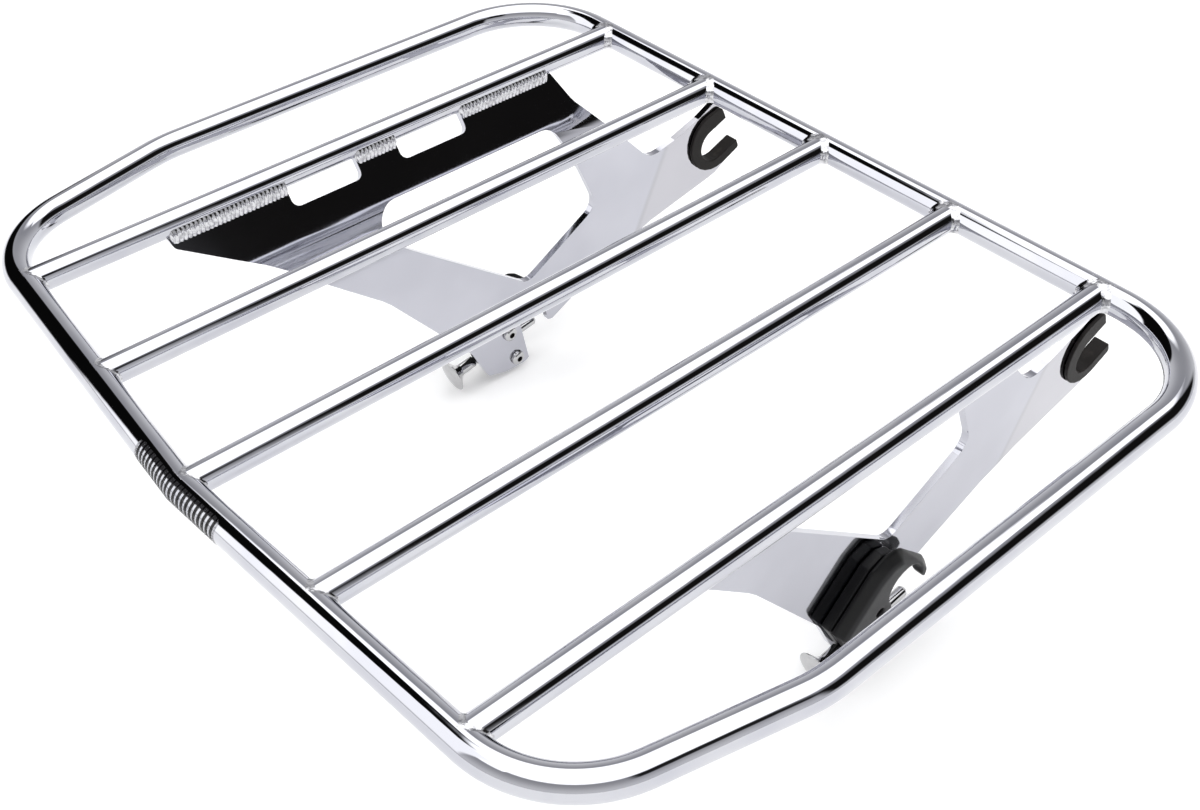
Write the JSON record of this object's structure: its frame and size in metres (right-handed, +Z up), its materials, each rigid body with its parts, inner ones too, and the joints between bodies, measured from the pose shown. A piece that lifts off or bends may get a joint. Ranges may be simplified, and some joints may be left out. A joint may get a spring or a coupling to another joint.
{
  "type": "detachable motorcycle luggage rack",
  "caption": "Slatted tubular carrier deck on two bent side brackets, with front docking hooks and sprung rear lock pins.",
  "frame": {"origin": "midway between the centres of the two rear docking notches", "axes": "+X forward, towards the hooks; +Y to the rack's left; +Z up, square to the deck"},
  "size_m": [0.4412, 0.4624, 0.1768],
  "materials": {
    "chrome": "polished chrome plate",
    "plate": "polished chrome plate, slightly wavy",
    "weld": "plated weld bead",
    "rubber": "matte moulded",
    "moulding": "satin black moulding",
    "stainless": "turned stainless steel",
    "spring": "drawn spring wire"
  },
  "bodies": {
    "rack": {"perimeter_rail": "chrome", "slat_right_outer": "chrome", "slat_right_inner": "chrome", "slat_middle": "chrome", "slat_left_inner": "chrome", "slat_left_outer": "chrome", "left_bracket": "plate", "left_weld_rear": "weld", "left_weld_middle": "weld", "left_weld_front": "weld", "left_hook_liner": "rubber", "left_housing_inner": "moulding", "left_housing_outer": "moulding", "left_screw_upper": "stainless", "left_screw_lower": "stainless", "left_spring": "spring", "right_bracket": "plate", "right_weld_rear": "weld", "right_weld_middle": "weld", "right_weld_front": "weld", "right_hook_liner": "rubber", "right_housing_inner": "moulding", "right_housing_outer": "moulding", "right_screw_upper": "stainless", "right_screw_lower": "stainless", "right_spring": "spring"},
    "left_plunger": {"left_lock_pin": "stainless", "left_knob": "stainless"},
    "right_plunger": {"right_lock_pin": "stainless", "right_knob": "stainless"}
  },
  "joints": [
    {"name": "left_plunger_pull", "type": "slide", "parent": "rack", "child": "left_plunger", "axis": [-0.9877, 0, -0.1564], "range_m": [0, 0.016], "stiffness_N_per_m": 500, "springref_m": -0.006, "deforming": ["left_spring"]},
    {"name": "right_plunger_pull", "type": "slide", "parent": "rack", "child": "right_plunger", "axis": [-0.9877, 0, -0.1564], "range_m": [0, 0.016], "stiffness_N_per_m": 500, "springref_m": -0.006, "deforming": ["right_spring"]}
  ]
}
